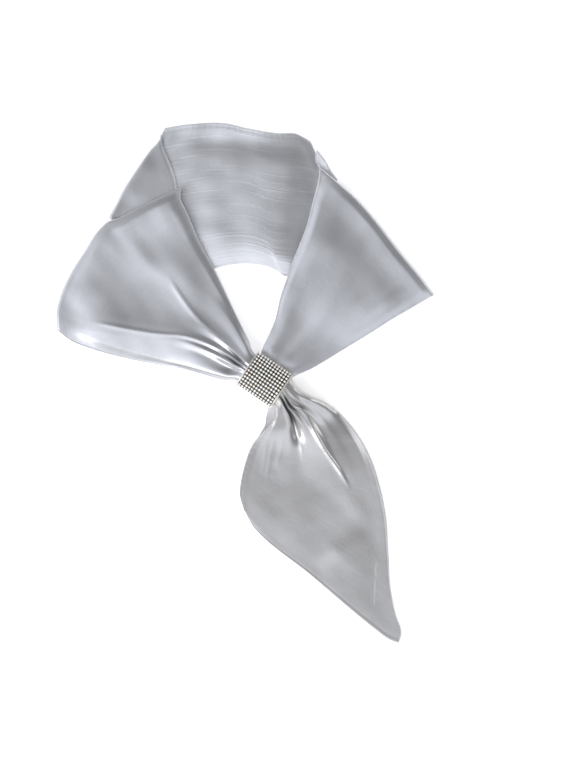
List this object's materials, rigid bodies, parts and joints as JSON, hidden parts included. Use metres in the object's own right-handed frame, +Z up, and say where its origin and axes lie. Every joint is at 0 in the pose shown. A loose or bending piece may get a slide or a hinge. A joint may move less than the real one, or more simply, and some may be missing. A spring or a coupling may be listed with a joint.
{
  "type": "neckerchief with a scarf ring",
  "caption": "Long narrow satin neckerchief laid flat in its neck loop, one front gathered through a stone-set scarf ring that lies over the other, with slanted tails below.",
  "frame": {"origin": "middle of the whole lay, on the surface it lies on", "axes": "+Z up from the surface; +Y from the tails towards the back of the neck loop; +X towards the right-hand front in the picture"},
  "size_m": [0.3458, 0.476, 0.0249],
  "materials": {
    "satin_inside": "inner face of a silver-grey satin with fine slubs along the strip",
    "satin": "silver-grey satin, smooth and lustrous",
    "ring_metal": "bright silver-coloured plate, slightly warm",
    "ring_stones": "clear cut stones in bright metal settings"
  },
  "bodies": {
    "root": {"back_band": "satin_inside", "left_turn": "satin", "right_turn": "satin", "left_front": "satin", "right_front": "satin", "front_tail": "satin", "back_tail": "satin", "ring_sleeve": "ring_metal", "stone_band": "ring_stones"}
  },
  "joints": []
}
